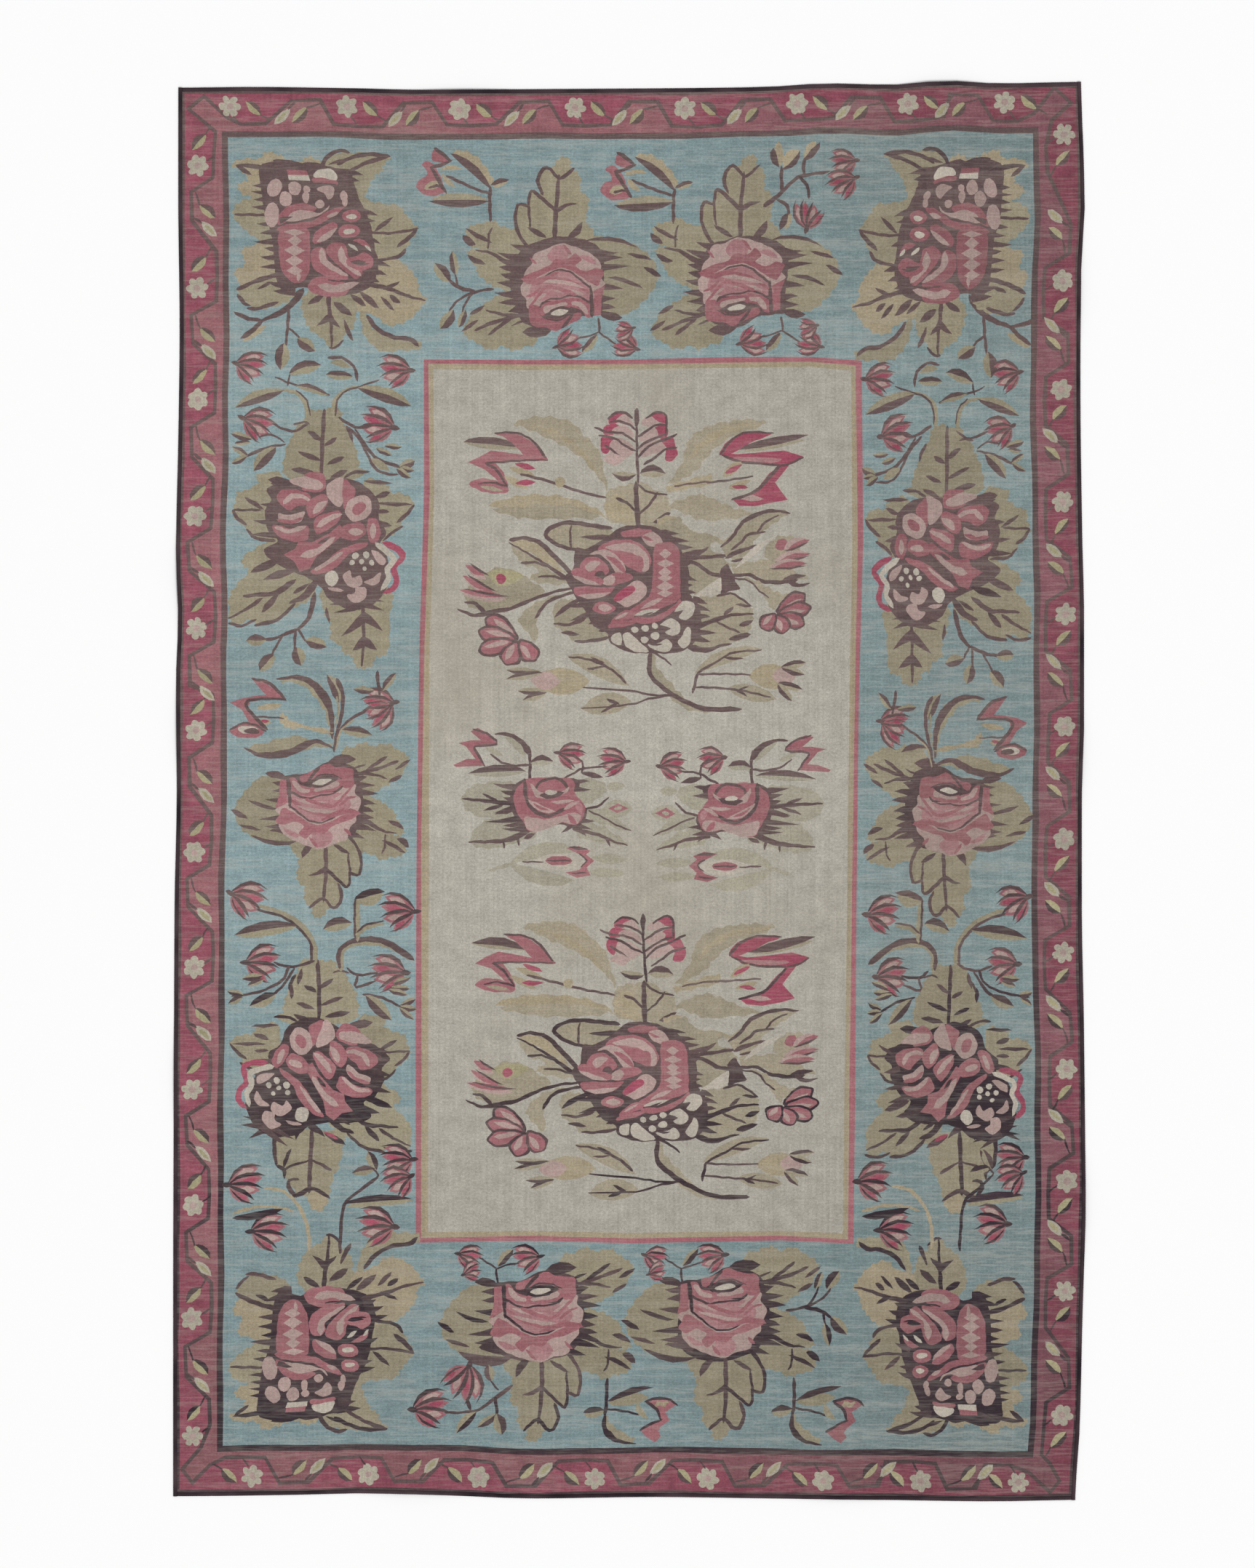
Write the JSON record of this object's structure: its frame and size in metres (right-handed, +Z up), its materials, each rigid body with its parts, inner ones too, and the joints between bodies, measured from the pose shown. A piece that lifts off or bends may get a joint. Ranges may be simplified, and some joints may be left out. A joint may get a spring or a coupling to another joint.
{
  "type": "bessarabian kilim",
  "caption": "Large flat-woven floral wool rug with a flower border and a dark overcast edge, lying flat as a floor covering.",
  "frame": {"origin": "centre of the rug's footprint, on the floor that it lies on", "axes": "+X across the rug's width, +Y along its length towards the end whose roses point outwards, +Z up out of the face that shows"},
  "size_m": [1.8182, 2.8305, 0.0085],
  "materials": {
    "cloth_wool": "matte slit-tapestry wool weave",
    "edge_wool": "matte overcast wool yarn"
  },
  "bodies": {
    "root": {"cloth": "cloth_wool", "edge_left": "edge_wool", "edge_right": "edge_wool", "edge_bottom": "edge_wool", "edge_top": "edge_wool"}
  },
  "joints": []
}
